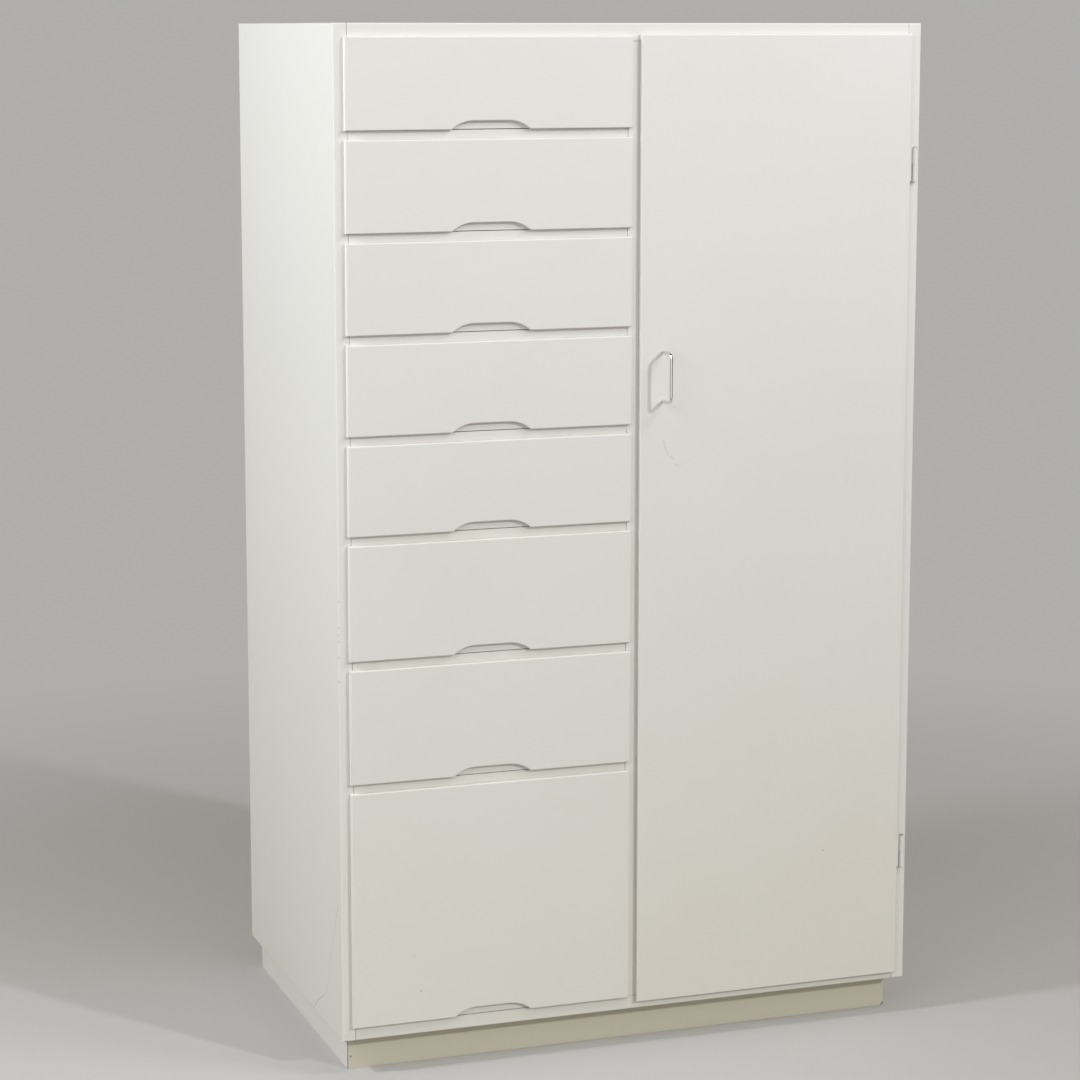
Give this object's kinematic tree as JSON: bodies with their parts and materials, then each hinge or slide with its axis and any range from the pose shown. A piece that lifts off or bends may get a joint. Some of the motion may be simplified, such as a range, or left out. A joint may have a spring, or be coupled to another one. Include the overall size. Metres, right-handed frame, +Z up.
{
  "type": "drawer cabinet",
  "caption": "Tall free-standing painted wood cupboard on a plinth: a column of lipped drawers with finger notches beside a full-height hinged door with a wire handle.",
  "frame": {"origin": "on the floor, under the middle of the whole part's box, handle included", "axes": "+Z up, -Y out of the front with the drawers and the door, +X to the right seen from the front"},
  "size_m": [1, 0.6459, 1.6825],
  "materials": {
    "painted_wood": "old off-white satin paint, brushed, with small chips and scuffs",
    "back_board": "bare plywood with a plain sealed face",
    "bare_wood": "bare planed beech, slightly aged",
    "drawer_bottom": "thin bare plywood",
    "painted_steel": "steel hinge leaves painted over with the carcass",
    "bright_steel": "plain bright steel",
    "dark_plastic": "dark moulded catch body",
    "chrome": "polished chrome wire, lightly worn"
  },
  "bodies": {
    "cabinet": {"side_panel_left": "painted_wood", "side_panel_right": "painted_wood", "top_panel": "painted_wood", "bottom_panel": "painted_wood", "partition": "painted_wood", "back_panel": "back_board", "rail_1": "painted_wood", "rail_2": "painted_wood", "rail_3": "painted_wood", "rail_4": "painted_wood", "rail_5": "painted_wood", "rail_6": "painted_wood", "rail_7": "painted_wood", "plinth_front": "painted_wood", "plinth_left": "painted_wood", "plinth_right": "painted_wood", "plinth_back": "painted_wood", "shelf_1": "painted_wood", "shelf_2": "painted_wood", "shelf_3": "painted_wood", "shelf_4": "painted_wood", "hinge_frame_leaf_upper": "painted_steel", "hinge_frame_leaf_lower": "painted_steel", "drawer_runners": "bare_wood", "shelf_battens": "painted_wood", "catch_magnet": "dark_plastic"},
    "door": {"door_panel": "painted_wood", "door_handle": "chrome", "handle_screws": "bright_steel", "hinge_door_leaf_upper": "painted_steel", "hinge_door_leaf_lower": "painted_steel", "hinge_pins": "bright_steel", "catch_strike": "bright_steel"},
    "drawer_1": {"drawer_1_face": "painted_wood", "drawer_1_box": "bare_wood", "drawer_1_bottom": "drawer_bottom"},
    "drawer_2": {"drawer_2_face": "painted_wood", "drawer_2_box": "bare_wood", "drawer_2_bottom": "drawer_bottom"},
    "drawer_3": {"drawer_3_face": "painted_wood", "drawer_3_box": "bare_wood", "drawer_3_bottom": "drawer_bottom"},
    "drawer_4": {"drawer_4_face": "painted_wood", "drawer_4_box": "bare_wood", "drawer_4_bottom": "drawer_bottom"},
    "drawer_5": {"drawer_5_face": "painted_wood", "drawer_5_box": "bare_wood", "drawer_5_bottom": "drawer_bottom"},
    "drawer_6": {"drawer_6_face": "painted_wood", "drawer_6_box": "bare_wood", "drawer_6_bottom": "drawer_bottom"},
    "drawer_7": {"drawer_7_face": "painted_wood", "drawer_7_box": "bare_wood", "drawer_7_bottom": "drawer_bottom"},
    "drawer_8": {"drawer_8_face": "painted_wood", "drawer_8_box": "bare_wood", "drawer_8_bottom": "drawer_bottom"}
  },
  "joints": [
    {"name": "door_hinge", "type": "hinge", "parent": "cabinet", "child": "door", "pos_m": [0.491, -0.28055, 0.86875], "axis": [0, 0, 1], "range_deg": [0, 175]},
    {"name": "drawer_1_slide", "type": "slide", "parent": "cabinet", "child": "drawer_1", "axis": [0, -1, 0], "range_m": [0, 0.42]},
    {"name": "drawer_2_slide", "type": "slide", "parent": "cabinet", "child": "drawer_2", "axis": [0, -1, 0], "range_m": [0, 0.42]},
    {"name": "drawer_3_slide", "type": "slide", "parent": "cabinet", "child": "drawer_3", "axis": [0, -1, 0], "range_m": [0, 0.42]},
    {"name": "drawer_4_slide", "type": "slide", "parent": "cabinet", "child": "drawer_4", "axis": [0, -1, 0], "range_m": [0, 0.42]},
    {"name": "drawer_5_slide", "type": "slide", "parent": "cabinet", "child": "drawer_5", "axis": [0, -1, 0], "range_m": [0, 0.42]},
    {"name": "drawer_6_slide", "type": "slide", "parent": "cabinet", "child": "drawer_6", "axis": [0, -1, 0], "range_m": [0, 0.42]},
    {"name": "drawer_7_slide", "type": "slide", "parent": "cabinet", "child": "drawer_7", "axis": [0, -1, 0], "range_m": [0, 0.42]},
    {"name": "drawer_8_slide", "type": "slide", "parent": "cabinet", "child": "drawer_8", "axis": [0, -1, 0], "range_m": [0, 0.42]}
  ]
}
